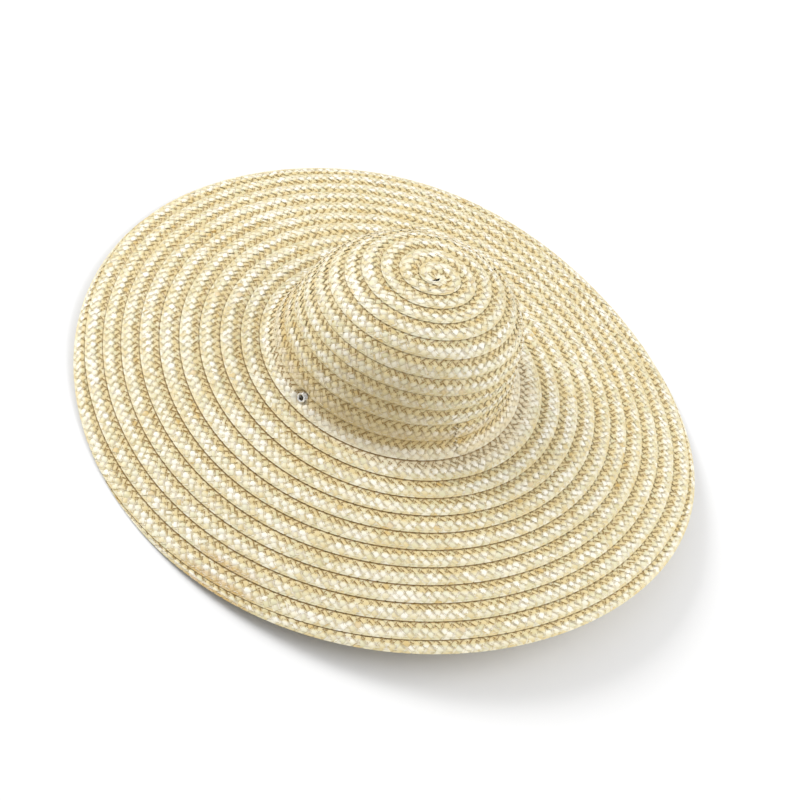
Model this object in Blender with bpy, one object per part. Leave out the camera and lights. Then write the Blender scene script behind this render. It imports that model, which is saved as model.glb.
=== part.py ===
"""Wide-brimmed straw sun hat: one flat plait sewn in a spiral from the tip of the crown to the edge of the brim.

Metres, +Z up. Z = 0 is the surface the brim lies on, and the origin is under the middle of the brim's outline.
A place on the straw is given by its row, counted along the surface from the tip (0) over the fold (FOLD_ROW)
to the edge (EDGE_ROW), and by its angle about the hat, anticlockwise from +X.
"""

import math

import bpy
import numpy as np

# Size of the hat
HEAD_RADIUS = 0.0900      # outside of the crown where it folds into the brim
CROWN_HEIGHT = 0.0843     # tip above the fold
CROWN_TAPER = math.radians(12.7)
SHOULDER_RADIUS = 0.0516  # turn from the side into the top
TIP_DOME = 0.0040         # rise of the top inside the shoulder
BRIM_RADIUS = 0.2360
BRIM_DROP = 0.0328        # fold above the brim's edge, between its waves
FOLD_CENTRE = (-0.0109, -0.0013)
TIP_CENTRE = (0.0005, 0.0024)

# Straw
WALL = 0.0020
LIP = 0.0008              # how far a row's outer edge stands over the next row
PUFF = 0.30               # rounding of a row, as a share of LIP
SEAM_GAP = 0.00035        # between crown and brim
FOLD_ROW = 9.0
EDGE_ROW = 20.0

# Waves of the brim: lobes round the edge, height along +X (m), height a quarter wave on (m)
BRIM_WAVES = (
    (2, 0.00254, -0.00894),
    (3, -0.00090, -0.00365),
    (4, 0.00106, 0.00015),
)
WAVE_START = 1.5          # power with which the waves grow from the fold outward
LEAN = math.radians(2.86) # the hat lies on its two low sides and leans over them, up towards LEAN_ANGLE
LEAN_ANGLE = math.radians(-34.8)
FLATTENED = 0.0011        # depth pressed flat where the brim lies on the surface
FLAT_WIDTH = 0.0040

# Where the spiral's seams run: turn of the spiral, and how far its seam lies outward, towards +X and towards +Y of a
# plain spiral (in rows). The crown has 11 turns in its 9 rows of length, so they are narrower there.
SEAM_DRIFT = (
    (-2.0, 2.50, 0.00, 0.00),
    (0.0, 2.08, -0.20, 0.38),
    (2.0, 1.72, -0.25, 0.41),
    (5.0, 1.17, 0.00, 0.37),
    (7.0, 0.63, 0.03, 0.33),
    (9.0, 0.36, 0.12, 0.30),
    (10.5, 0.50, 0.35, 0.28),
    (13.0, 0.80, 0.12, 0.55),
    (16.0, 0.92, -0.20, 0.70),
    (20.0, 0.87, -0.35, 0.70),
)

# Eyelet in the lowest row of the crown
EYELET_ROW = 8.72
EYELET_ANGLE = math.radians(237.4)
EYELET_FLANGE = 0.0037
EYELET_BARREL = 0.0025
EYELET_HOLE = 0.0020
EYELET_CLEARANCE = 0.00035

# Facets
COLUMNS = 64
STEP = 2 * math.pi / COLUMNS
FIRST_ANGLE = (EYELET_ANGLE / STEP - 0.5) % 1 * STEP   # puts the eyelet in the middle of a facet
TIP_ROW = 0.35            # a small cap closes the tip
UNDER_ROWS_CROWN = (1.7, 3.0, 4.1, 5.2, 6.6, 7.8)
UNDER_ROWS_BRIM = (10.4, 12.0, 13.6, 15.2, 16.8, 18.4)
BRIM_PITCH = (BRIM_RADIUS - HEAD_RADIUS) / (EDGE_ROW - FOLD_ROW)


def crown_outline():
    """Radius and height above the fold of the crown's side view, from the tip down, as arrays with their length."""
    flat_top = CROWN_HEIGHT - TIP_DOME
    turn = math.pi / 2 - CROWN_TAPER
    side_top = flat_top - SHOULDER_RADIUS * (1 - math.cos(turn))
    side_radius = HEAD_RADIUS - side_top * math.tan(CROWN_TAPER)
    shoulder = side_radius - SHOULDER_RADIUS * math.sin(turn)
    top = np.linspace(0, shoulder, 40)
    bend = np.linspace(0, turn, 60)[1:]
    radius = np.concatenate([top, shoulder + SHOULDER_RADIUS * np.sin(bend), [HEAD_RADIUS]])
    height = np.concatenate([
        flat_top + TIP_DOME * (1 - (top / shoulder) ** 2),
        flat_top - SHOULDER_RADIUS * (1 - np.cos(bend)),
        [0.0],
    ])
    length = np.concatenate([[0], np.cumsum(np.hypot(np.diff(radius), np.diff(height)))])
    return length, radius, height


CROWN_LENGTH, CROWN_RADIUS, CROWN_RISE = crown_outline()
CROWN_PITCH = CROWN_LENGTH[-1] / FOLD_ROW


def leaned(point):
    """Turns a point of the level hat with the hat, as it lies."""
    uphill = np.array([math.cos(LEAN_ANGLE), math.sin(LEAN_ANGLE), 0])
    along, up = point.dot(uphill), point[2]
    point = point + uphill * (along * (math.cos(LEAN) - 1) - up * math.sin(LEAN))
    point[2] = up * math.cos(LEAN) + along * math.sin(LEAN)
    return point


def surface(row, angle, brim):
    """Point of the straw's outer face, without its ribs. The edge between the waves is at height 0 here."""
    if brim:
        out = (row - FOLD_ROW) / (EDGE_ROW - FOLD_ROW)
        radius = HEAD_RADIUS + (BRIM_RADIUS - HEAD_RADIUS) * out
        height = BRIM_DROP * (1 - out)
        centre = [c * (1 - out) for c in FOLD_CENTRE]
        for lobes, along, across in BRIM_WAVES:
            wave = along * math.cos(lobes * angle) + across * math.sin(lobes * angle)
            height += wave * max(out, 0) ** WAVE_START
    else:
        length = row * CROWN_PITCH
        radius = float(np.interp(length, CROWN_LENGTH, CROWN_RADIUS))
        height = float(np.interp(length, CROWN_LENGTH, CROWN_RISE))
        up = height / CROWN_HEIGHT
        centre = [f + (t - f) * up for f, t in zip(FOLD_CENTRE, TIP_CENTRE)]
        height += BRIM_DROP
    x = centre[0] + radius * math.cos(angle)
    y = centre[1] + radius * math.sin(angle)
    return leaned(np.array([x, y, height]))


def facing(row, angle, brim):
    """Unit normal of the outer face, out of the crown and up from the brim."""
    along = surface(row + 0.05, angle, brim) - surface(row - 0.05, angle, brim)
    around = surface(row, angle + 0.01, brim) - surface(row, angle - 0.01, brim)
    normal = np.cross(along, around)
    return normal / np.linalg.norm(normal)


def seam(number, angle):
    """Row at which a seam of the spiral runs. The spiral goes outward clockwise, one row for each turn."""
    row = number - angle / (2 * math.pi)
    table = np.array(SEAM_DRIFT)
    out, east, north = (np.interp(row + 0.5, table[:, 0], table[:, i]) for i in (1, 2, 3))
    return row + out + east * math.cos(angle) + north * math.sin(angle)


def ribbed_sheet(first, last, brim, flat_first, flat_last):
    """Outer face between two rows as points and faces, with the index of the points along its first and last row.

    Between two seams a row rises from the level of the straw to LIP above it, and drops back at the seam.
    flat_first and flat_last keep an end of the sheet at the level of the straw.
    """
    points, faces, known = [], [], {}

    def angle_of(column):
        return FIRST_ANGLE + column * STEP

    def point(column, row, level, key):
        if key not in known:
            angle = angle_of(column)
            known[key] = len(points)
            points.append(surface(row, angle, brim) + LIP * level * facing(row, angle, brim))
        return known[key]

    def seams_of(column, number):
        return seam(number, angle_of(column)), seam(number + 1, angle_of(column))

    def level_at(column, number, row):
        inner, outer = seams_of(column, number)
        return (row - inner) / (outer - inner)

    def end(column, row):
        number = next(n for n in range(-3, 26) if seams_of(column, n)[0] <= row < seams_of(column, n)[1])
        flat = flat_first if row == first else flat_last
        return point(column, row, 0 if flat else level_at(column, number, row), (column, row))

    def edge(column, number, upper):
        """Point on a seam, above or below its step, or the sheet's end where the seam lies outside it."""
        if column == COLUMNS:
            column, number = 0, number - 1
        row = seam(number, angle_of(column))
        if row <= first + 0.02:
            return end(column, first)
        if row >= last - 0.02:
            return end(column, last)
        return point(column, row, 1 if upper else 0, (column, number, upper))

    def middle(column, number):
        low, high = edge(column, number, False), edge(column, number + 1, True)
        if low == high:
            return low
        if column == COLUMNS:
            column, number = 0, number - 1
        inner, outer = seams_of(column, number)
        start, stop = max(inner, first), min(outer, last)
        start_level = 0 if start == inner or (start == first and flat_first) else level_at(column, number, start)
        stop_level = 0 if stop == last and flat_last else level_at(column, number, stop)
        share = (stop - start) / (outer - inner)
        level = (start_level + stop_level) / 2 + PUFF * share
        return point(column, (start + stop) / 2, level, (column, number, "middle"))

    def face(*corners):
        ring = [c for i, c in enumerate(corners) if c != corners[i - 1]]
        if len(set(ring)) > 2:
            faces.append(ring)

    for column in range(COLUMNS):
        for number in range(-3, 26):
            a, b = edge(column, number, False), edge(column, number + 1, True)
            c, d = edge(column + 1, number + 1, True), edge(column + 1, number, False)
            m, n = middle(column, number), middle(column + 1, number)
            if len({a, b, c, d, m, n}) > 2:
                face(a, m, n, d)
                face(m, b, c, n)
            face(edge(column, number, True), a, d, edge(column + 1, number, True))
    return points, faces, [end(i, first) for i in range(COLUMNS)], [end(i, last) for i in range(COLUMNS)]


def add_ring(points, places):
    start = len(points)
    points.extend(places)
    return list(range(start, start + len(places)))


def bridge(faces, inner, outer):
    """Faces between two rings of points, seen from the side where outer lies outside inner, anticlockwise."""
    for i in range(COLUMNS):
        j = (i + 1) % COLUMNS
        faces.append([inner[i], outer[i], outer[j], inner[j]])


def ring_places(row, brim, depth):
    angles = [FIRST_ANGLE + i * STEP for i in range(COLUMNS)]
    return [surface(row, a, brim) - depth * facing(row, a, brim) for a in angles]


def new_object(name, points, faces, material):
    mesh = bpy.data.meshes.new(name)
    mesh.from_pydata([tuple(p) for p in points], [], faces)
    mesh.validate()
    mesh.materials.append(material)
    made = bpy.data.objects.new(name, mesh)
    bpy.context.scene.collection.objects.link(made)
    mesh.shade_smooth()
    mesh.set_sharp_from_angle(angle=math.radians(40))
    return made


def new_material(name, colour, roughness, metallic):
    material = bpy.data.materials.new(name)
    material.use_nodes = True
    shader = material.node_tree.nodes["Principled BSDF"]
    shader.inputs["Base Color"].default_value = (*colour, 1)
    shader.inputs["Roughness"].default_value = roughness
    shader.inputs["Metallic"].default_value = metallic
    return material


def build_crown(floor, material):
    """Dome of rows over the head, open below."""
    last = FOLD_ROW - SEAM_GAP / CROWN_PITCH
    points, faces, tip, rim = ribbed_sheet(TIP_ROW, last, False, False, True)
    centre = add_ring(points, [surface(0, 0, False) + [0, 0, LIP / 2]])[0]
    for i in range(COLUMNS):
        faces.append([centre, tip[i], tip[(i + 1) % COLUMNS]])
    # The lower edge is cut parallel to the brim, so its inner side ends higher.
    inner_last = FOLD_ROW - (SEAM_GAP + 2 * WALL * math.sin(CROWN_TAPER)) / CROWN_PITCH
    upper = rim
    for row in (inner_last, *reversed(UNDER_ROWS_CROWN), TIP_ROW):
        ring = add_ring(points, ring_places(row, False, WALL))
        bridge(faces, upper, ring)
        upper = ring
    centre = add_ring(points, [surface(0, 0, False) - [0, 0, WALL]])[0]
    for i in range(COLUMNS):
        faces.append([centre, upper[(i + 1) % COLUMNS], upper[i]])
    return new_object("crown", [p + [0, 0, floor] for p in points], faces, material)


def build_brim(floor, material):
    """Disc of rows that slopes down from the fold, with its inner margin under the crown's edge."""
    points, faces, inner, outer = ribbed_sheet(FOLD_ROW, EDGE_ROW, True, True, False)
    margin_row = FOLD_ROW - (WALL - 0.00025) / BRIM_PITCH
    margin = add_ring(points, ring_places(margin_row, True, 0))
    bridge(faces, margin, inner)
    rows = [EDGE_ROW, EDGE_ROW - FLAT_WIDTH / BRIM_PITCH, *reversed(UNDER_ROWS_BRIM), margin_row]
    rings = [ring_places(row, True, WALL) for row in rows]
    # Where the edge would sink below the surface it lies flat on it, over FLAT_WIDTH.
    for edge_point, next_point in zip(*rings[:2]):
        if edge_point[2] + floor < 0:
            edge_point[2] = next_point[2] = -floor
    upper = outer
    for places in rings:
        ring = add_ring(points, places)
        bridge(faces, upper, ring)
        upper = ring
    bridge(faces, upper, margin)
    return new_object("brim", [p + [0, 0, floor] for p in points], faces, material)


def frame_at(row, angle, floor):
    """Rotation and place on the crown's outer face, with local Z out of the crown."""
    z = facing(row, angle, False)
    x = surface(row, angle + 0.01, False) - surface(row, angle - 0.01, False)
    x = x - z * x.dot(z)
    x /= np.linalg.norm(x)
    matrix = np.eye(4)
    matrix[:3, 0], matrix[:3, 1], matrix[:3, 2] = x, np.cross(z, x), z
    matrix[:3, 3] = surface(row, angle, False) + [0, 0, floor]
    return matrix


def place(points, matrix):
    return [matrix[:3, :3] @ np.array(p) + matrix[:3, 3] for p in points]


def turned(profile, sides, matrix, name, material):
    """Ring turned from a closed profile of (radius, height), anticlockwise round its section."""
    points, faces = [], []
    for i in range(sides):
        turn = 2 * math.pi * i / sides
        points += [(r * math.cos(turn), r * math.sin(turn), h) for r, h in profile]
    count = len(profile)
    for i in range(sides):
        for j in range(count):
            a, b = i * count + j, i * count + (j + 1) % count
            shift = (i + 1) % sides * count - i * count
            faces.append([a, a + shift, b + shift, b])
    return new_object(name, place(points, matrix), faces, material)


def build_eyelet(crown, floor, material):
    """Metal ring through the crown's wall, with a flange on each side, and the hole for it in the crown."""
    matrix = frame_at(EYELET_ROW, EYELET_ANGLE, floor)
    sag = HEAD_RADIUS * (1 - math.cos(STEP / 2))
    top = EYELET_CLEARANCE + PUFF * LIP
    bottom = -WALL - sag - EYELET_CLEARANCE
    profile = (
        (EYELET_HOLE, bottom - 0.0004), (EYELET_HOLE + 0.0002, bottom - 0.0006), (EYELET_FLANGE - 0.0002, bottom - 0.0005),
        (EYELET_FLANGE, bottom), (EYELET_BARREL, bottom), (EYELET_BARREL, top), (EYELET_FLANGE, top),
        (EYELET_FLANGE - 0.0003, top + 0.0005), (EYELET_FLANGE - 0.0009, top + 0.0007),
        (EYELET_HOLE + 0.0003, top + 0.0005), (EYELET_HOLE, top),
    )
    eyelet = turned(profile, 24, matrix, "eyelet", material)
    outer, inner = EYELET_BARREL + EYELET_CLEARANCE, 0.006
    rings = [[(outer * math.cos(2 * math.pi * i / 20), outer * math.sin(2 * math.pi * i / 20), h) for i in range(20)]
             for h in (-inner, inner)]
    sides = [[i, (i + 1) % 20, 20 + (i + 1) % 20, 20 + i] for i in range(20)]
    cutter = new_object("eyelet_cutter", place(rings[0] + rings[1], matrix),
                        sides + [list(range(19, -1, -1)), list(range(20, 40))], material)
    cutter.hide_render = True
    cutter.display_type = "WIRE"
    cut = crown.modifiers.new("eyelet hole", "BOOLEAN")
    cut.operation = "DIFFERENCE"
    cut.object = cutter
    return eyelet


def main():
    for old in list(bpy.data.objects):
        bpy.data.objects.remove(old, do_unlink=True)
    straw = new_material("straw", (0.72, 0.62, 0.41), 0.55, 0.0)
    steel = new_material("steel", (0.62, 0.60, 0.60), 0.35, 1.0)
    lowest = min(p[2] for p in ring_places(EDGE_ROW, True, WALL))
    floor = -lowest - FLATTENED
    crown = build_crown(floor, straw)
    build_brim(floor, straw)
    build_eyelet(crown, floor, steel)


main()
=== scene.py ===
import math

import bmesh
import bpy
import numpy as np
from mathutils import Matrix, Vector


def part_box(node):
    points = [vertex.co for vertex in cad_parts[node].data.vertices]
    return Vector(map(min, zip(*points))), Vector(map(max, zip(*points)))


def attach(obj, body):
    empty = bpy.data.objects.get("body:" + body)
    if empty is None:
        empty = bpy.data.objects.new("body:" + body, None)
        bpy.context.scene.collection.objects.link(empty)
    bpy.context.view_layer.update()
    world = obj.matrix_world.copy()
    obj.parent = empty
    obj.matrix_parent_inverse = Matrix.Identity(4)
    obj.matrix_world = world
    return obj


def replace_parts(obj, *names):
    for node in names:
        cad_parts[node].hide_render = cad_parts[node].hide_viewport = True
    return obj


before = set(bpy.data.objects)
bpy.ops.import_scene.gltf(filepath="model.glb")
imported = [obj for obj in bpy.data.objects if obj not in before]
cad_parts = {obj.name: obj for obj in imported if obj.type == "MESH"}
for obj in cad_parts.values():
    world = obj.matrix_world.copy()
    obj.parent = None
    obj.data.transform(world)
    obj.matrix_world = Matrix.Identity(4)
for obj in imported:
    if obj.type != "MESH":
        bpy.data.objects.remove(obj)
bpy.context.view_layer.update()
print("frame loaded")

# Main sizes of the hat, in metres, for a brim 471.5 mm across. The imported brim's width scales them all.
hat = {
    "brimWidth": 0.47155,
    "headRadius": 0.0900,
    "crownHeight": 0.0843,
    "crownTaper": 12.7,
    "shoulderRadius": 0.0516,
    "tipDome": 0.0040,
    "brimRadius": 0.2360,
    "brimDrop": 0.0328,
    "foldCentre": (-0.0109, -0.0013),
    "tipCentre": (0.0005, 0.0024),
    "wall": 0.0020,
    "foldRow": 9.0,
    "edgeRow": 20.0,
    "waves": ((2, 0.00254, -0.00894), (3, -0.00090, -0.00365), (4, 0.00106, 0.00015)),
    "waveStart": 1.5,
    "lean": 2.86,
    "leanAngle": -34.8,
    "flattened": 0.0011,
    "foldSoftness": 0.22,      # rows on each side over which the fold is rounded
    "foldReach": 1.2,          # rows from the fold within which that rounding fades out
    "poleRow": 0.08,           # least row at which a normal is taken
}
brimLow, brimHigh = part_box("brim")
hatScale = (brimHigh.x - brimLow.x) / hat["brimWidth"]

# Turn of the spiral, and how far its seam lies outward, towards +X and towards +Y of a plain spiral, in rows
seamDrift = np.array((
    (-2.0, 2.50, 0.00, 0.00), (0.0, 2.08, -0.20, 0.38), (2.0, 1.72, -0.25, 0.41), (5.0, 1.17, 0.00, 0.37),
    (7.0, 0.63, 0.03, 0.33), (9.0, 0.36, 0.12, 0.30), (10.5, 0.50, 0.35, 0.28), (13.0, 0.80, 0.12, 0.55),
    (16.0, 0.92, -0.20, 0.70), (20.0, 0.87, -0.35, 0.70),
))


def crownSideView():
    # length, radius and height above the fold, from the tip down
    taper, bendRadius = math.radians(hat["crownTaper"]), hat["shoulderRadius"]
    flatTop, turn = hat["crownHeight"] - hat["tipDome"], math.pi / 2 - math.radians(hat["crownTaper"])
    sideTop = flatTop - bendRadius * (1 - math.cos(turn))
    shoulder = hat["headRadius"] - sideTop * math.tan(taper) - bendRadius * math.sin(turn)
    top, bend = np.linspace(0, shoulder, 40), np.linspace(0, turn, 60)[1:]
    radius = np.concatenate([top, shoulder + bendRadius * np.sin(bend), [hat["headRadius"]]])
    height = np.concatenate([flatTop + hat["tipDome"] * (1 - (top / shoulder) ** 2),
                             flatTop - bendRadius * (1 - np.cos(bend)), [0.0]])
    length = np.concatenate([[0], np.cumsum(np.hypot(np.diff(radius), np.diff(height)))])
    return length, radius, height


crownLength, crownRadius, crownRise = crownSideView()
crownPitch = crownLength[-1] / hat["foldRow"]
brimPitch = (hat["brimRadius"] - hat["headRadius"]) / (hat["edgeRow"] - hat["foldRow"])


def strawSurface(row, angle):
    # outer face of the straw at rows and angles, before it is lifted to the floor
    row, angle = np.broadcast_arrays(np.asarray(row, float), np.asarray(angle, float))
    onBrim = row > hat["foldRow"]
    out = np.maximum((row - hat["foldRow"]) / (hat["edgeRow"] - hat["foldRow"]), 0)
    length = np.clip(row, 0, hat["foldRow"]) * crownPitch
    rise = np.interp(length, crownLength, crownRise)
    radius = np.where(onBrim, hat["headRadius"] + (hat["brimRadius"] - hat["headRadius"]) * out,
                      np.interp(length, crownLength, crownRadius))
    height = hat["brimDrop"] * (1 - out) + rise
    for lobes, along, across in hat["waves"]:
        wave = along * np.cos(lobes * angle) + across * np.sin(lobes * angle)
        height = height + wave * out ** hat["waveStart"]
    centre = []
    for fold, tip in zip(hat["foldCentre"], hat["tipCentre"]):
        centre.append(np.where(onBrim, fold * (1 - out), fold + (tip - fold) * rise / hat["crownHeight"]))
    x, y = centre[0] + radius * np.cos(angle), centre[1] + radius * np.sin(angle)
    lean, towards = math.radians(hat["lean"]), math.radians(hat["leanAngle"])
    along = x * math.cos(towards) + y * math.sin(towards)
    shift = along * (math.cos(lean) - 1) - height * math.sin(lean)
    z = height * math.cos(lean) + along * math.sin(lean)
    return np.stack([x + shift * math.cos(towards), y + shift * math.sin(towards), z], -1)


def softSurface(row, angle):
    # the same with the fold rounded, by averaging over a few rows near it
    row = np.asarray(row, float)
    near = np.clip(1 - np.abs(row - hat["foldRow"]) / hat["foldReach"], 0, 1) * hat["foldSoftness"] * 2
    places = [strawSurface(row + near * share, angle) for share in (-1, -0.6, -0.2, 0.2, 0.6, 1)]
    return sum(places) / len(places)


def outwardOf(row, angle):
    # normal of that surface, from places 0.05 rows and 0.01 radians to each side
    row = np.maximum(row, hat["poleRow"])
    along = softSurface(row + 0.05, angle) - softSurface(row - 0.05, angle)
    around = softSurface(row, angle + 0.01) - softSurface(row, angle - 0.01)
    normal = np.cross(along, around)
    return normal / np.linalg.norm(normal, axis=-1, keepdims=True)


def seamRow(turn):
    # row of the seam after so many turns. The spiral goes outward clockwise.
    out, east, north = (np.interp(turn + 0.5, seamDrift[:, 0], seamDrift[:, i]) for i in (1, 2, 3))
    return turn + out + east * np.cos(-2 * math.pi * turn) + north * np.sin(-2 * math.pi * turn)


def liftOfHat():
    angles = np.linspace(0, 2 * math.pi, 721)
    row = np.full_like(angles, hat["edgeRow"])
    under = strawSurface(row, angles) - hat["wall"] * outwardOf(row - 0.06, angles)
    return -under[:, 2].min() - hat["flattened"]


hatLift = liftOfHat()
liftUp = np.array([0, 0, hatLift])
print("hat lifted by", round(hatLift * 1000, 2), "mm")


class Wire:
    # a socket in a node tree, on which arithmetic adds Math nodes
    def __init__(self, graph, socket):
        self.graph, self.socket = graph, socket

    def math(self, operation, *values):
        node = self.graph.add("ShaderNodeMath", {"operation": operation}, dict(enumerate((self, *values))))
        return self.graph.wire(node)

    def __add__(self, other):
        return self.math("ADD", other)

    __radd__ = __add__

    def __sub__(self, other):
        return self.math("SUBTRACT", other)

    def __rsub__(self, other):
        return (self * -1).math("ADD", other)

    def __mul__(self, other):
        return self.math("MULTIPLY", other)

    __rmul__ = __mul__

    def __truediv__(self, other):
        return self.math("DIVIDE", other)

    def __pow__(self, other):
        return self.math("POWER", other)

    def clamped(self, low=0.0, high=1.0):
        return self.math("MAXIMUM", low).math("MINIMUM", high)

    def above(self, start, steepness):
        # 0 up to the start, then rising to 1
        return ((self - start) * steepness).clamped()

    def abs(self):
        return self.math("ABSOLUTE")


class Graph:
    def __init__(self, tree):
        self.tree = tree

    def add(self, kind, settings=None, values=None):
        node = self.tree.nodes.new(kind)
        for name, value in (settings or {}).items():
            setattr(node, name, value)
        for name, value in (values or {}).items():
            socket = self.socket(node.inputs, name)
            if isinstance(value, Wire):
                self.tree.links.new(value.socket, socket)
            else:
                socket.default_value = value
        return node

    def socket(self, sockets, name):
        if isinstance(name, int):
            return sockets[name]
        return next(s for s in sockets if s.name == name and s.enabled)

    def wire(self, node, name=0):
        return Wire(self, self.socket(node.outputs, name))

    def made(self, kind, settings=None, values=None, output=0):
        return self.wire(self.add(kind, settings, values), output)

    def vector(self, x=0.0, y=0.0, z=0.0):
        return self.made("ShaderNodeCombineXYZ", None, {"X": x, "Y": y, "Z": z})

    def parts(self, vector):
        node = self.add("ShaderNodeSeparateXYZ", None, {0: vector})
        return [self.wire(node, i) for i in range(3)]

    def blend(self, factor, first, second):
        settings = {"data_type": "RGBA", "blend_type": "MIX", "clamp_result": False}
        return self.made("ShaderNodeMix", settings, {"Factor": factor, "A": first, "B": second}, "Result")

    def noise(self, place, scale, detail, roughness=0.5):
        values = {"Vector": place, "Scale": scale, "Detail": detail, "Roughness": roughness}
        return self.made("ShaderNodeTexNoise", None, values)

    def bump(self, height, strength, distance):
        return self.made("ShaderNodeBump", None, {"Height": height, "Strength": strength, "Distance": distance})

    def attribute(self, name, kind="FLOAT_VECTOR"):
        return self.made("GeometryNodeInputNamedAttribute", {"data_type": kind}, {"Name": name}, "Attribute")

    def stored(self, geometry, name, value, kind="FLOAT_VECTOR", domain="POINT"):
        return self.made("GeometryNodeStoreNamedAttribute", {"data_type": kind, "domain": domain}, {
            "Geometry": geometry, "Name": name, "Value": value}, "Geometry")

    def random(self, low, high, seed):
        kind = "FLOAT_VECTOR" if isinstance(low, tuple) else "FLOAT"
        values = {"Min": low, "Max": high, "Seed": seed}
        return self.made("FunctionNodeRandomValue", {"data_type": kind}, values, "Value")

    def lineOf(self, count, start, step):
        # points one step apart along the row
        return self.made("GeometryNodeMeshLine", {"mode": "OFFSET"}, {
            "Count": count, "Start Location": start, "Offset": self.vector(step, 0.0, 0.0)})


def newGeometryTree(name, inputs):
    tree = bpy.data.node_groups.new(name, "GeometryNodeTree")
    tree.interface.new_socket("Geometry", in_out="INPUT", socket_type="NodeSocketGeometry")
    for label, (kind, value) in inputs.items():
        socket = tree.interface.new_socket(label, in_out="INPUT", socket_type=kind)
        if value is not None:
            socket.default_value = value
    tree.interface.new_socket("Geometry", in_out="OUTPUT", socket_type="NodeSocketGeometry")
    graph = Graph(tree)
    start = graph.add("NodeGroupInput")
    return graph, {label: graph.wire(start, label) for label in ("Geometry", *inputs)}


def runTree(guide, tree, values, name):
    # runs a geometry tree on a guide, and gives the result as a plain object
    modifier = guide.modifiers.new(tree.name, "NODES")
    modifier.node_group = tree
    for item in tree.interface.items_tree:
        if item.item_type == "SOCKET" and item.in_out == "INPUT" and item.name in values:
            modifier[item.identifier] = values[item.name]
    guide.update_tag()
    bpy.context.view_layer.update()
    graph = bpy.context.evaluated_depsgraph_get()
    mesh = bpy.data.meshes.new_from_object(
        guide.evaluated_get(graph), preserve_all_data_layers=True, depsgraph=graph)
    guide.modifiers.remove(modifier)
    mesh.name = name
    return mesh


plait = {
    "width": 0.0163,           # of the whole plait, part of it under the row inside it
    "tileLength": 0.0064,      # along the row, from one splint to the next
    "columns": 4,              # crossings across the plait
    "thickness": 0.00125,
    "rowRise": 0.0011,         # a row's outer edge over its inner one
    "puff": 0.00055,           # rounding of a row
    "outerLevel": 0.0001,      # of the plait's middle at the outer edge, from the straw's outer face
    "leastTuck": 0.16,         # rows that the plait always goes under the row inside it
    "stepsInTurn": 240,
    "stepsAcross": 8,
    "firstTurn": -3.3,
    "lastTurn": 19.37,
    "cuts": (8.85, 14.2, 17.0),    # turns where one stretch of plait ends and the next begins
    "splice": 0.007,           # length by which two stretches of plait overlap
    "leastRow": 0.03,          # the middle of the spiral
    "leastOuter": 0.3,         # least row of the first coil's outer edge
    "leastSpan": 0.25,         # least rows over which a row's rise is spread
    "leastShown": 0.3,         # what the first coil counts as shown at least, so that it gets no painted seam shadow
    "endFade": 0.12,           # turns over which the rim's row comes down to its level
    "endRise": 0.8,
    "puffPower": 0.8,
    "sunkEdges": (0.04, 0.06),     # rows that a lifted end lies inside its row's two edges
    "spill": 0.12,             # share of the width past the ribbon's edge at which a splint is cut off
    "edgeRounding": 0.0011,
    "seed": 5,
}


def store(mesh, name, values, kind="FLOAT"):
    # a number or a vector for each point
    attribute = mesh.attributes.new(name, kind, "POINT")
    attribute.data.foreach_set("value" if kind == "FLOAT" else "vector", np.asarray(values, np.float32).ravel())


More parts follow.
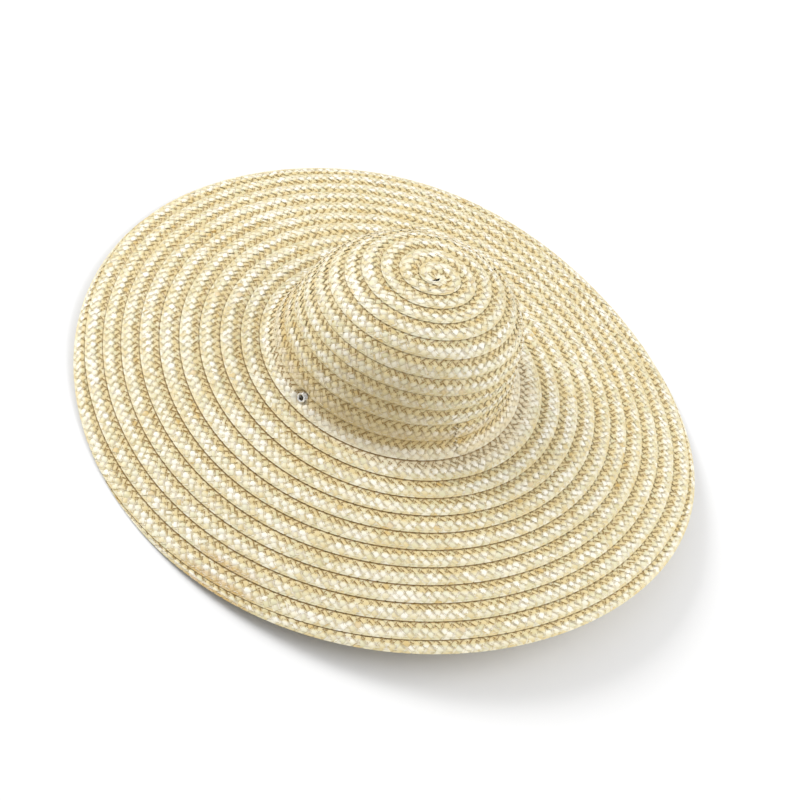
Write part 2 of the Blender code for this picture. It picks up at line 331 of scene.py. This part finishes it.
def plaitGuide(name, firstTurn, lastTurn, lift=0.0):
    # the middle of the plait as a ribbon along the spiral, with its course as UV, and the way out and the share of
    # the row's visible width as attributes. A lifted one lies on the row, highest at its last turn.
    if firstTurn > plait["firstTurn"] and not lift:
        firstTurn -= plait["splice"] / (2 * math.pi * hat["headRadius"])
    count = max(8, int((lastTurn - firstTurn) * plait["stepsInTurn"]))
    turn = np.linspace(firstTurn, lastTurn, count + 1)
    angle = -2 * math.pi * turn
    inner, outer = seamRow(turn), np.minimum(seamRow(turn + 1), hat["edgeRow"])
    inner, outer = np.maximum(inner, 0.0), np.maximum(outer, plait["leastOuter"])
    pitch = np.where((inner + outer) / 2 > hat["foldRow"], brimPitch, crownPitch)
    hidden = np.minimum(outer - plait["width"] / pitch, inner - plait["leastTuck"])
    if lift:
        hidden, outer = inner + plait["sunkEdges"][0], outer - plait["sunkEdges"][1]
    across = np.linspace(0, 1, plait["stepsAcross"] + 1)
    row = hidden[:, None] + (outer - hidden)[:, None] * across
    row = np.maximum(row, plait["leastRow"])
    isLast = np.clip((turn - (plait["lastTurn"] - 1.0)) / plait["endFade"], 0, 1)[:, None]
    shown = (row - inner[:, None]) / np.maximum(outer - inner, plait["leastSpan"])[:, None]
    rise = np.clip(shown, 0, 1)
    level = plait["outerLevel"] - plait["rowRise"] * (1 - rise * (1 - plait["endRise"] * isLast))
    level = level + plait["puff"] * np.sin(math.pi * rise ** plait["puffPower"])
    level = level + lift * np.linspace(0, 1, count + 1)[:, None] ** 0.5
    angle = angle[:, None]
    outward = outwardOf(row, angle)
    place = softSurface(row, angle) + level[..., None] * outward + liftUp
    place, length = place * hatScale, np.zeros(count + 1)
    wide = plait["stepsAcross"] + 1
    middle = place[:, wide // 2]
    length[1:] = np.cumsum(np.linalg.norm(np.diff(middle, axis=0), axis=1))
    faces = []
    for i in range(count):
        for j in range(wide - 1):
            a = i * wide + j
            faces.append((a, a + 1, a + wide + 1, a + wide))
    mesh = bpy.data.meshes.new(name)
    mesh.from_pydata(place.reshape(-1, 3).tolist(), [], faces)
    course = np.stack(np.broadcast_arrays((length / length[-1])[:, None], across), -1).reshape(-1, 2)
    loops = np.zeros(len(mesh.loops), np.int32)
    mesh.loops.foreach_get("vertex_index", loops)
    mesh.uv_layers.new(name="course").data.foreach_set("uv", course[loops].astype(np.float32).ravel())
    store(mesh, "outward", outward, "FLOAT_VECTOR")
    firstCoil = inner[:, None] < plait["leastRow"]
    store(mesh, "shown", np.where(firstCoil, np.maximum(shown, plait["leastShown"]), shown))
    guide = bpy.data.objects.new(name, mesh)
    bpy.context.scene.collection.objects.link(guide)
    return guide, float(length[-1])


def bentOnto(graph, flat, guide, length, width):
    # lays flat geometry, x along the row and y across it, onto the guide ribbon. What runs past its ends or too far
    # past its sides is cut off, and places are read just inside its border.
    x, y, z = graph.parts(graph.made("GeometryNodeInputPosition"))
    past = ((x / length - 0.5).abs() - 0.5) * 1000
    past = past.math("MAXIMUM", (y / width - 0.5).abs() - 0.5 - plait["spill"])
    beyond = graph.made("FunctionNodeCompare", {"operation": "GREATER_THAN"}, {"A": past, "B": 0.0})
    flat = graph.made("GeometryNodeDeleteGeometry", {"domain": "POINT"}, {"Geometry": flat, "Selection": beyond})
    across = (y / width).clamped(0.0005, 0.9995)
    edge = (across.math("MINIMUM", 1 - across) * width / plait["edgeRounding"]).clamped()
    height = z * (1 - (1 - edge) * (1 - edge)).clamped().math("SQRT")
    where = graph.vector((x / length).clamped(0.00002, 0.99998), across, 0.0)
    course, outward = graph.attribute("course"), graph.attribute("outward")

    def onGuide(value, kind="FLOAT_VECTOR"):
        node = graph.add("GeometryNodeSampleUVSurface", {"data_type": kind})
        graph.tree.links.new(guide.socket, node.inputs["Mesh"])
        graph.tree.links.new(value.socket, graph.socket(node.inputs, "Value"))
        sockets = [s for s in node.inputs if s.enabled and s.type == "VECTOR" and s.name != "Value"]
        graph.tree.links.new(course.socket, sockets[0])
        graph.tree.links.new(where.socket, sockets[1])
        return graph.wire(node, "Value")

    flat = graph.stored(flat, "shown", onGuide(graph.attribute("shown", "FLOAT"), "FLOAT"), "FLOAT")
    place = onGuide(graph.made("GeometryNodeInputPosition"))
    scaled = {0: onGuide(outward), "Scale": height}
    out = graph.made("ShaderNodeVectorMath", {"operation": "SCALE"}, scaled, "Vector")
    final = graph.made("ShaderNodeVectorMath", {"operation": "ADD"}, {0: place, 1: out}, "Vector")
    px, py, pz = graph.parts(final)
    final = graph.vector(px, py, pz.math("MAXIMUM", 0.0))     # pressed flat where it lies on the floor
    return graph.made("GeometryNodeSetPosition", None, {"Geometry": flat, "Position": final})


tile = {
    "slipUnder": 0.50,         # share of a tile's length that goes on under its neighbours
    "gap": 0.08,
    "crownOfSplint": 0.22,     # share of the thickness by which a splint's edges are lower
    "endDip": 1.75,            # share of half the thickness by which the ends dip
    "edgeCurve": 2.5,
    "endCurve": 2.4,
    "relief": (0.60, 0.85, 1.00, 1.20, 0.75, 0.50),   # height, from the row's inner edge to its outer one
    "tilt": 0.07,
    "turn": 0.05,
    "least": (0.94, 0.94, 0.82),   # share of the full length, width and height
    "most": (1.05, 1.05, 1.16),
    "lead": 3,                 # splints before the row's start and after its end, which are then cut off
}


def buildPlaitTree():
    graph, given = newGeometryTree("plaited row", {
        "Row Length": ("NodeSocketFloat", 1.0), "Plait Width": ("NodeSocketFloat", plait["width"]),
        "Tile Length": ("NodeSocketFloat", plait["tileLength"]),
        "Thickness": ("NodeSocketFloat", plait["thickness"]),
        "Seed": ("NodeSocketInt", plait["seed"]), "Straw": ("NodeSocketMaterial", None)})
    columnStep = given["Plait Width"] / (plait["columns"] + 1)
    half = given["Thickness"] * 0.5
    layers = graph.add("GeometryNodeJoinGeometry")

    def oneTile(direction, side):
        # a splint between its two crossings: p runs along it, q across it. The lower layer's are coarser.
        longways, sideways = (5, 4) if side > 0 else (4, 3)
        grid = graph.made("GeometryNodeMeshGrid", None, {
            "Size X": 1.0, "Size Y": 1.0, "Vertices X": longways, "Vertices Y": sideways}, "Mesh")
        p, q, _ = graph.parts(graph.made("GeometryNodeInputPosition"))
        grid = graph.stored(grid, "splint", graph.vector(p * 2, q * 2, 0.0))
        p, q, _ = graph.parts(graph.made("GeometryNodeInputPosition"))
        along, over = p * (1 + tile["slipUnder"]), q * (1 - tile["gap"])
        x = (along - over) * given["Tile Length"] * 0.5 * direction
        y = (along + over) * columnStep
        bend = (p * 2).abs() ** tile["endCurve"]
        dip = bend * tile["endDip"] + (q * 2).abs() ** tile["edgeCurve"] * tile["crownOfSplint"] * 2
        z = (1 - dip) * half * side
        made = graph.made("GeometryNodeSetPosition", None, {"Geometry": grid, "Position": graph.vector(x, y, z)})
        if direction * side < 0:
            made = graph.made("GeometryNodeFlipFaces", None, {"Mesh": made})
        return made

    for side in (1, -1):
        tiles = {d: oneTile(d, side) for d in (1, -1)}
        for column in range(-1, plait["columns"] + 1):
            # columns lean back and forward in turn, and below each leans the other way
            direction = (1 if column % 2 else -1) * side
            seed = given["Seed"] + (column * 7 + side)
            atX = given["Tile Length"] * (0.5 * column - tile["lead"])
            start = graph.vector(atX, columnStep * (column + 1), 0.0)
            count = given["Row Length"] / given["Tile Length"] + 2 * tile["lead"]
            line = graph.lineOf(count, start, given["Tile Length"])
            most = (tile["tilt"], tile["tilt"], tile["turn"])
            turned = graph.random(tuple(-angle for angle in most), most, seed)
            tall = (1, 1, tile["relief"][column + 1])
            least, most = (tuple(a * b for a, b in zip(tile[k], tall)) for k in ("least", "most"))
            size = graph.random(least, most, seed + 1)
            placed = graph.made("GeometryNodeInstanceOnPoints", None, {
                "Points": line, "Instance": tiles[direction], "Rotation": turned, "Scale": size})
            tone, hue = (graph.random(0.0, 1.0, seed + later) for later in (2, 3))
            look = graph.vector(tone, hue, (column + 1) / (plait["columns"] + 1))
            placed = graph.stored(placed, "tone", look, domain="INSTANCE")
            graph.tree.links.new(placed.socket, layers.inputs["Geometry"])
    flat = graph.made("GeometryNodeRealizeInstances", None, {"Geometry": graph.wire(layers)})
    bent = bentOnto(graph, flat, given["Geometry"], given["Row Length"], given["Plait Width"])
    smooth = graph.made("GeometryNodeSetShadeSmooth", None, {"Geometry": bent})
    final = graph.made("GeometryNodeSetMaterial", None, {"Geometry": smooth, "Material": given["Straw"]})
    graph.add("NodeGroupOutput", None, {"Geometry": final})
    return graph.tree


def newMaterial(name):
    material = bpy.data.materials.new(name)
    material.use_nodes = True
    graph = Graph(material.node_tree)
    shader = material.node_tree.nodes["Principled BSDF"]
    return material, graph, shader


def connect(graph, shader, baseColor, roughness, normal=None):
    for label, value in (("Base Color", baseColor), ("Roughness", roughness), ("Normal", normal)):
        if value is not None:
            graph.tree.links.new(value.socket, shader.inputs[label])


straw = {
    "pale": (0.77, 0.695, 0.45, 1),
    "cream": (0.92, 0.89, 0.78, 1),
    "wheat": (0.72, 0.59, 0.31, 1),
    "green": (0.66, 0.64, 0.40, 1),
    "amber": (0.62, 0.42, 0.13, 1),
    "creviceShade": (0.34, 0.195, 0.035, 1),
    "seam": (0.25, 0.13, 0.015, 1),
    "seamWidth": 0.085,        # share of a row's visible width with painted seam shadow at its inner seam
    "burnt": (0.55, 0.30, 0.04, 1),
    "shaded": (0.60, 0.46, 0.21, 1),
    "footShade": (0.057, 0.013),    # height of the painted shade, golden, round the foot of the crown, and how far it fades
    "foldHighlight": (0.045, 0.008),     # the same for the painted highlight, pale, where the straw rounds the fold
    "sideRadius": 0.103,       # radius within which both lie
    "plaitEnd": (-0.0645, -0.2250),
    "plaitEndReach": 0.036,
    "crownFrom": 0.045,        # height above which the seams are the crown's, where the painted seam shadow is weaker
    "seamShadowSide": (-0.25, -0.97),    # the way from the crown to the side of the brim with the darkest painted seam shadow, away from the light
    "highlightShare": 0.60,            # share of a row's visible width where the painted highlight along its middle is brightest
    "seamSideShade": 0.22,            # and where the painted shade on its flank beside the seam is deepest
    "patchSize": 30.0,
    "speckSize": 900.0,
    "roughness": 0.28,
    "roughnessSpread": 0.25,
    "grainStrength": 0.35,
    "grainDepth": 0.00012,
    "specular": 0.5,
    "sheen": 0.08,
    "sheenRoughness": 0.5,
}


def strawMaterial():
    material, graph, shader = newMaterial("straw plait")
    toneNode = graph.add("ShaderNodeAttribute", {"attribute_name": "tone"})
    tone, hue, column = graph.parts(graph.wire(toneNode, "Vector"))
    splint = graph.wire(graph.add("ShaderNodeAttribute", {"attribute_name": "splint"}), "Vector")
    shown = graph.wire(graph.add("ShaderNodeAttribute", {"attribute_name": "shown"}), "Fac")
    p, q, _ = graph.parts(splint)
    place = graph.made("ShaderNodeTexCoord", None, None, "Object")
    grain = graph.noise(graph.vector(p * 0.5 + tone * 40, q * 9 + hue * 31, column * 5), 1.0, 3.0, 0.6)
    patch = graph.noise(place, straw["patchSize"], 2.0)
    speck = graph.noise(place, straw["speckSize"], 2.0)
    # painted highlight, paler, along the middle of each row, and painted shade, more golden, on its flank beside
    # the seam
    middle = (1 - (shown - straw["highlightShare"]).abs() * 3).clamped()
    seamSideShade = ((1 - (shown - straw["seamSideShade"]).abs() * 4.2) * 1.6).clamped()
    level = tone * 0.40 + middle * 0.30 + (patch - 0.5) * 0.48 + 0.27 - seamSideShade * 0.20
    colour = graph.made("ShaderNodeValToRGB", None, {"Fac": level}, "Color")
    ramp = colour.socket.node.color_ramp
    ramp.elements[0].position, ramp.elements[0].color = 0.0, straw["amber"]
    ramp.elements[1].position, ramp.elements[1].color = 1.0, straw["cream"]
    for position, name in ((0.10, "wheat"), (0.36, "wheat"), (0.52, "pale"), (0.84, "cream")):
        ramp.elements.new(position).color = straw[name]
    # a few splints are greenish or amber, and all have streaks and specks
    colour = graph.blend(hue.above(0.72, 4) * 0.50, colour, straw["green"])
    colour = graph.blend(((0.02 - hue) * 90).clamped() * 0.60, colour, straw["amber"])
    colour = graph.blend(grain.above(0.45, 3) * 0.22, colour, straw["wheat"])
    colour = graph.blend(speck.above(0.62, 8) * 0.20, colour, straw["amber"])
    # painted shade, golden, at the foot of the crown, a painted highlight on the fold under it, and painted shade
    # up its front
    x, y, height = graph.parts(place)
    radius = (x * x + y * y).math("SQRT")
    onSide = ((straw["sideRadius"] - radius) * 200).clamped()
    footShade, foldHighlight = ((1 - (height - straw[k][0]).abs() / straw[k][1]).clamped() * onSide for k in ("footShade", "foldHighlight"))
    colour = graph.blend(foldHighlight * 0.45, colour, straw["cream"])
    colour = graph.blend(footShade * (0.15 + patch * 0.5), colour, straw["amber"])
    frontShade = height.above(0.044, 60) * ((-0.045 - y - x.abs() * 0.25) * 30).clamped()
    colour = graph.blend(frontShade * 0.45, colour, straw["shaded"])
    # browner where the plait ends at the rim
    endX, endY = straw["plaitEnd"]
    away = ((x - endX) ** 2 + (y - endY) ** 2).math("SQRT")
    rim = (1 - away / straw["plaitEndReach"]).clamped() * shown.above(0.55, 4)
    colour = graph.blend((rim * 2).clamped() * grain.above(0.35, 4) * 0.85, colour, straw["burnt"])
    # painted shade, browner, where a splint goes under the next one and along its two edges, least on the row's
    # outer edge
    selvedge, ends, sides = shown.above(0.66, 6), p.abs().above(0.60, 3.6), q.abs().above(0.82, 5)
    creviceShade = graph.blend(seamSideShade, straw["creviceShade"], straw["seam"])
    colour = graph.blend(ends * (0.50 + seamSideShade * 0.45 - selvedge * 0.32), colour, creviceShade)
    colour = graph.blend(sides * 0.35, colour, straw["wheat"])
    # painted shadow: a dark line in the seam on the side of the brim facing away from the light, and painted shade
    # as dots in the notches elsewhere
    seam = ((1 - shown.abs() / straw["seamWidth"]) * 1.8).clamped()
    shadowSideX, shadowSideY = straw["seamShadowSide"]
    shadowSide = ((x * shadowSideX + y * shadowSideY) / (radius + 0.001) * 1.15 - 0.05).clamped()
    line = shadowSide * (1 - height.above(straw["crownFrom"], 200) * 0.75)
    notchShade = p.abs().above(0.35, 3)
    colour = graph.blend(seam * (line * 0.88 + (1 - line) * (notchShade * 0.52 + 0.10)), colour, straw["seam"])
    bump = graph.bump(grain, straw["grainStrength"], straw["grainDepth"])
    connect(graph, shader, colour, grain * straw["roughnessSpread"] + straw["roughness"], bump)
    shader.inputs["Specular IOR Level"].default_value = straw["specular"]
    shader.inputs["Sheen Weight"].default_value = straw["sheen"]
    shader.inputs["Sheen Roughness"].default_value = straw["sheenRoughness"]
    return material


stitch = {
    "pitch": 0.0060,
    "length": 0.0036,
    "thread": 0.00017,         # radius
    "inset": 0.0017,           # from the row's outer edge
    "above": 0.95,             # share of half the plait's thickness at which the thread's middle lies
    "sink": 0.0005,            # how far its ends go down
    "turn": 0.09,
    "seed": 11,
    "dark": (0.78, 0.70, 0.52, 1),
    "light": (0.90, 0.86, 0.74, 1),
    "twistSize": 1400.0,
}


def threadMaterial():
    material, graph, shader = newMaterial("sewing thread")
    place = graph.made("ShaderNodeTexCoord", None, None, "Object")
    twist = graph.noise(place, stitch["twistSize"], 1.0)
    connect(graph, shader, graph.blend(twist, stitch["dark"], stitch["light"]), twist * 0.2 + 0.5)
    return material


def buildStitchTree():
    graph, given = newGeometryTree("row of stitches", {
        "Row Length": ("NodeSocketFloat", 1.0), "Plait Width": ("NodeSocketFloat", plait["width"]),
        "Pitch": ("NodeSocketFloat", stitch["pitch"]),
        "Stitch Length": ("NodeSocketFloat", stitch["length"]),
        "Thread Radius": ("NodeSocketFloat", stitch["thread"]),
        "Inset": ("NodeSocketFloat", stitch["inset"]),
        "Half Thickness": ("NodeSocketFloat", plait["thickness"] / 2),
        "Seed": ("NodeSocketInt", stitch["seed"]), "Thread": ("NodeSocketMaterial", None)})
    layers = graph.add("GeometryNodeJoinGeometry")
    for side in (1, -1):
        tube = graph.made("GeometryNodeMeshCylinder", {"fill_type": "NONE"}, {
            "Vertices": 5, "Side Segments": 3,
            "Radius": given["Thread Radius"], "Depth": given["Stitch Length"]}, "Mesh")
        x, y, z = graph.parts(graph.made("GeometryNodeInputPosition"))
        # the thread goes down into the straw at both its ends
        arch = (z / given["Stitch Length"] * 2) ** 2
        rise = (x + given["Half Thickness"] * stitch["above"] - arch * stitch["sink"]) * side
        laid = graph.vector(z, y, rise)
        tube = graph.made("GeometryNodeSetPosition", None, {"Geometry": tube, "Position": laid})
        start = graph.vector(given["Pitch"] * 0.5, given["Plait Width"] - given["Inset"], 0.0)
        line = graph.lineOf(given["Row Length"] / given["Pitch"], start, given["Pitch"])
        turned = graph.random(-stitch["turn"], stitch["turn"], given["Seed"] + side)
        placed = graph.made("GeometryNodeInstanceOnPoints", None, {
            "Points": line, "Instance": tube, "Rotation": graph.vector(0.0, 0.0, turned)})
        graph.tree.links.new(placed.socket, layers.inputs["Geometry"])
    flat = graph.made("GeometryNodeRealizeInstances", None, {"Geometry": graph.wire(layers)})
    bent = bentOnto(graph, flat, given["Geometry"], given["Row Length"], given["Plait Width"])
    smooth = graph.made("GeometryNodeSetShadeSmooth", None, {"Geometry": bent})
    final = graph.made("GeometryNodeSetMaterial", None, {"Geometry": smooth, "Material": given["Thread"]})
    graph.add("NodeGroupOutput", None, {"Geometry": final})
    return graph.tree


tip = {
    "rows": (0.02, 0.42),      # from the small hole in the middle to the outer edge
    "rings": 4,
    "corners": 16,
    "below": 0.0003,           # under the straw's outer face
    "shown": 0.5,
    "tone": (0.4, 0.3, 0.5),
}


def tipPatch(finish):
    # straw under the very middle of the spiral
    rings, corners = tip["rings"], tip["corners"]
    angles = np.linspace(0, 2 * math.pi, corners + 1)[:-1]
    row, angle = np.meshgrid(np.linspace(*tip["rows"], rings), angles, indexing="ij")
    place = softSurface(row, angle) + liftUp - tip["below"] * outwardOf(row, angle)
    faces = [tuple(range(corners))]
    for ring in range(rings - 1):
        for i in range(corners):
            a, b = ring * corners + i, ring * corners + (i + 1) % corners
            faces.append((a, a + corners, b + corners, b))
    mesh = bpy.data.meshes.new("tip")
    mesh.from_pydata((place * hatScale).reshape(-1, 3).tolist(), [], faces)
    store(mesh, "shown", [tip["shown"]] * rings * corners)
    store(mesh, "tone", [tip["tone"]] * rings * corners, "FLOAT_VECTOR")
    mesh.materials.append(finish)
    return mesh


plaitJoin = {
    "turns": ((7.085, 7.132), (8.084, 8.124)),   # rows on which the cut end of a plait lies
    "lift": 0.0010,
    "narrowed": 0.8,                   # share of the plait's full width
    "seed": 700,
    "threads": 7,
    "threadRows": (7.62, 9.15),
    "threadAngles": (311.6, 316.6),    # of the cut, from the upper thread to the lower one, in degrees
    "threadReach": 1.25,               # degrees to each side of the cut
    "threadSlant": 0.09,               # rows that a thread climbs on each side of the cut
    "threadHeight": 0.0026,
    "threadSink": 0.0012,
    "thread": 0.00022,                 # radius
    "threadSides": 6,
    "threadSteps": 8,
}


def joinThreads(finish):
    # oversewing across the cut end of the plait
    points, faces = [], []
    sides, steps = plaitJoin["threadSides"], plaitJoin["threadSteps"]
    share = np.linspace(-1, 1, steps + 1)
    low, high = plaitJoin["threadRows"]
    for k in range(plaitJoin["threads"]):
        row = low + (high - low) * k / (plaitJoin["threads"] - 1)
        cut = np.interp(row, (low, high), plaitJoin["threadAngles"])
        angle = np.radians(cut + share * plaitJoin["threadReach"])
        rows = row + share * plaitJoin["threadSlant"]
        outward = outwardOf(rows, angle)
        arch = plaitJoin["threadHeight"] - plaitJoin["threadSink"] * share ** 4
        centre = softSurface(rows, angle) + outward * arch[:, None] + liftUp
        along = np.gradient(centre, axis=0)
        along = along / np.linalg.norm(along, axis=1, keepdims=True)
        across = np.cross(along, outward)
        start = len(points)
        for turn in np.linspace(0, 2 * math.pi, sides, endpoint=False):
            ring = centre + plaitJoin["thread"] * (across * math.cos(turn) + outward * math.sin(turn))
            points.extend((ring * hatScale).tolist())
        for i in range(sides):
            a, b = start + i * (steps + 1), start + (i + 1) % sides * (steps + 1)
            faces.extend((a + j, b + j, b + j + 1, a + j + 1) for j in range(steps))
    mesh = bpy.data.meshes.new("join_thread")
    mesh.from_pydata(points, [], faces)
    mesh.polygons.foreach_set("use_smooth", [True] * len(faces))
    mesh.materials.append(finish)
    return mesh


eyeletFit = {
    "strawHole": 0.0038,       # radius
    "threadHole": 0.0035,
    "depth": 0.008,            # along the axis, to each side of the eyelet's middle
    "pressedTo": 0.0072,       # radius out to which the straw round it is pressed in
    "pressedFade": 0.0026,
    "pressedBy": 0.0025,
    "dull": (0.80, 0.79, 0.77, 1),
    "bright": (0.95, 0.94, 0.92, 1),
    "rubSize": 700.0,
    "rubDepth": 0.0001,
}


def metalMaterial():
    material, graph, shader = newMaterial("plated metal")
    place = graph.made("ShaderNodeTexCoord", None, None, "Object")
    rub = graph.noise(place, eyeletFit["rubSize"], 4.0)
    colour = graph.blend(rub, eyeletFit["dull"], eyeletFit["bright"])
    connect(graph, shader, colour, rub * 0.22 + 0.16, graph.bump(rub, 0.15, eyeletFit["rubDepth"]))
    shader.inputs["Metallic"].default_value = 1.0
    return material


def cleared(mesh, centre, axis, radius):
    # cuts the eyelet's hole, and presses in what is round it
    def offAxis(place):
        away = place - centre
        along = away.dot(axis)
        return abs(along) < eyeletFit["depth"], (away - axis * along).length

    work = bmesh.new()
    work.from_mesh(mesh)
    doomed = []
    for face in work.faces:
        isNear, wide = offAxis(face.calc_center_median())
        if isNear and wide < radius:
            doomed.append(face)
    bmesh.ops.delete(work, geom=doomed, context="FACES")
    for point in work.verts:
        isNear, wide = offAxis(point.co)
        if isNear and wide < eyeletFit["pressedTo"]:
            share = min(1, (eyeletFit["pressedTo"] - wide) / eyeletFit["pressedFade"])
            point.co -= axis * eyeletFit["pressedBy"] * share
    work.to_mesh(mesh)
    work.free()


def eyeletAxis():
    # its middle, and the way out along its hole
    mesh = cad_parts["eyelet"].data
    points = np.array([v.co for v in mesh.vertices])
    centre = points.mean(0)
    spread = np.linalg.svd(points - centre, full_matrices=False)[2]
    axis = Vector(spread[2]).normalized()
    outward = Vector((centre[0], centre[1], 0))
    return Vector(centre), axis if axis.dot(outward) > 0 else -axis


def newPiece(name, mesh):
    piece = bpy.data.objects.new(name, mesh)
    bpy.context.scene.collection.objects.link(piece)
    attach(piece, "root")
    triangles = sum(len(f.vertices) - 2 for f in mesh.polygons)
    print(name, triangles, "triangles")
    return piece


def joined(meshes, name):
    # several meshes as one, with their attributes
    parts = []
    for mesh in meshes:
        part = bpy.data.objects.new(name, mesh)
        bpy.context.scene.collection.objects.link(part)
        parts.append(part)
    with bpy.context.temp_override(
            active_object=parts[0], object=parts[0], selected_objects=parts, selected_editable_objects=parts):
        bpy.ops.object.join()
    mesh = parts[0].data
    bpy.data.objects.remove(parts[0])
    return mesh


def buildHat():
    strawFinish, threadFinish = strawMaterial(), threadMaterial()
    plaitTree, stitchTree = buildPlaitTree(), buildStitchTree()
    axisPoint, axis = eyeletAxis()

    def plaited(guide, name, length, width, seed):
        return runTree(guide, plaitTree, {
            "Row Length": length, "Plait Width": width, "Tile Length": plait["tileLength"],
            "Thickness": plait["thickness"], "Seed": plait["seed"] + seed, "Straw": strawFinish}, name)

    def sewn(guide, name, length, seed):
        return runTree(guide, stitchTree, {
            "Row Length": length, "Plait Width": plait["width"], "Pitch": stitch["pitch"],
            "Stitch Length": stitch["length"], "Thread Radius": stitch["thread"], "Inset": stitch["inset"],
            "Half Thickness": plait["thickness"] / 2, "Seed": stitch["seed"] + seed, "Thread": threadFinish}, name)

    turns = (plait["firstTurn"], *plait["cuts"], plait["lastTurn"])
    stretches = (("crown_plait", "crown"), ("brim_plait_inner", "brim"),
                 ("brim_plait_middle", "brim"), ("brim_plait_outer", "brim"))
    threads = []
    for index, (name, node) in enumerate(stretches):
        guide, length = plaitGuide(name + "_guide", turns[index], turns[index + 1])
        mesh = plaited(guide, name, length, plait["width"], 100 * index)
        threads.append(sewn(guide, name + "_thread", length, index))
        bpy.data.objects.remove(guide)
        if node == "crown":
            cleared(mesh, axisPoint, axis, eyeletFit["strawHole"])
            mesh = joined([mesh, tipPatch(strawFinish)], name)
        print(name, "row of", round(length, 2), "m")
        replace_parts(newPiece(name, mesh), node)
    ends = []
    for index, (first, last) in enumerate(plaitJoin["turns"]):
        guide, length = plaitGuide("join_guide", first, last, plaitJoin["lift"])
        width = plait["width"] * plaitJoin["narrowed"]
        ends.append(plaited(guide, "plait_join", length, width, plaitJoin["seed"] + index))
        bpy.data.objects.remove(guide)
    newPiece("plait_join", joined(ends, "plait_join"))
    threads.append(joinThreads(threadFinish))
    stitches = joined(threads, "stitches")
    cleared(stitches, axisPoint, axis, eyeletFit["threadHole"])
    newPiece("stitches", stitches)
    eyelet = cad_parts["eyelet"]
    eyelet.data.materials.clear()
    eyelet.data.materials.append(metalMaterial())
    print("hat built")


buildHat()


studio = {
    "floorSize": 60.0,
    "floorLevel": -0.0002,
    "floorColour": (0.86, 0.86, 0.86, 1),
    "floorRoughness": 0.9,
    "floorSpecular": 0.1,
    "worldStrength": 0.62,
    "keyPower": 24.0,
    "keyPlace": (-1.40, 0.45, 1.15),
    "keySize": 1.0,
    "fillPower": 22.0,
    "fillPlace": (1.5, 0.25, 1.1),
    "fillSize": 1.6,
}

camera = {
    "target": (0.0, 0.0, 0.010),
    "distance": 1.5,
    "elevation": 46.498,
    "roll": 24.499,
    "azimuth": -2.218,
    "focalPixels": 2031.07,
    "centrePixel": (393.421, 392.46),
    "picturePixels": 800,
    "sensorWidth": 36.0,
    "clip": (0.05, 30),
}


def buildStudio():
    mesh = bpy.data.meshes.new("floor")
    half, level = studio["floorSize"] / 2, studio["floorLevel"]
    corners = [(x * half, y * half, level) for x, y in ((-1, -1), (1, -1), (1, 1), (-1, 1))]
    mesh.from_pydata(corners, [], [(0, 1, 2, 3)])
    floor = bpy.data.objects.new("floor", mesh)
    bpy.context.scene.collection.objects.link(floor)
    material, _, shader = newMaterial("studio floor")
    shader.inputs["Base Color"].default_value = studio["floorColour"]
    shader.inputs["Roughness"].default_value = studio["floorRoughness"]
    shader.inputs["Specular IOR Level"].default_value = studio["floorSpecular"]
    mesh.materials.append(material)
    world = bpy.data.worlds.new("studio")
    bpy.context.scene.world = world
    world.use_nodes = True
    back = world.node_tree.nodes["Background"]
    back.inputs["Color"].default_value = (1, 1, 1, 1)
    back.inputs["Strength"].default_value = studio["worldStrength"]
    for name in ("key", "fill"):
        light = bpy.data.lights.new(name, "AREA")
        light.energy, light.size = studio[name + "Power"], studio[name + "Size"]
        lamp = bpy.data.objects.new(name, light)
        lamp.location = studio[name + "Place"]
        lamp.rotation_mode = "QUATERNION"
        lamp.rotation_quaternion = (-Vector(studio[name + "Place"])).to_track_quat("-Z", "Y")
        bpy.context.scene.collection.objects.link(lamp)
    bpy.context.scene.view_settings.view_transform = "Standard"
    print("studio built")


def buildCamera():
    # at the photograph's angle, found by fitting the hat's outline and seams
    elevation, roll, azimuth = (math.radians(camera[k]) for k in ("elevation", "roll", "azimuth"))
    turn = Matrix.Rotation(azimuth, 3, "Z")
    forward = Vector((0, math.cos(elevation), -math.sin(elevation)))
    right, up = Vector((1, 0, 0)), Vector((0, math.sin(elevation), math.cos(elevation)))
    right, up = math.cos(roll) * right + math.sin(roll) * up, -math.sin(roll) * right + math.cos(roll) * up
    right, up, forward = turn @ right, turn @ up, turn @ forward
    data = bpy.data.cameras.new("camera")
    wide = camera["picturePixels"]
    data.sensor_width = camera["sensorWidth"]
    data.lens = camera["focalPixels"] / wide * camera["sensorWidth"]
    data.shift_x = (wide / 2 - camera["centrePixel"][0]) / wide
    data.shift_y = (camera["centrePixel"][1] - wide / 2) / wide
    data.clip_start, data.clip_end = camera["clip"]
    eye = bpy.data.objects.new("camera", data)
    place = Vector(camera["target"]) - forward * camera["distance"]
    eye.matrix_world = Matrix.Translation(place) @ Matrix((right, up, -forward)).transposed().to_4x4()
    bpy.context.scene.collection.objects.link(eye)
    bpy.context.scene.camera = eye
    print("camera placed")


buildStudio()
buildCamera()
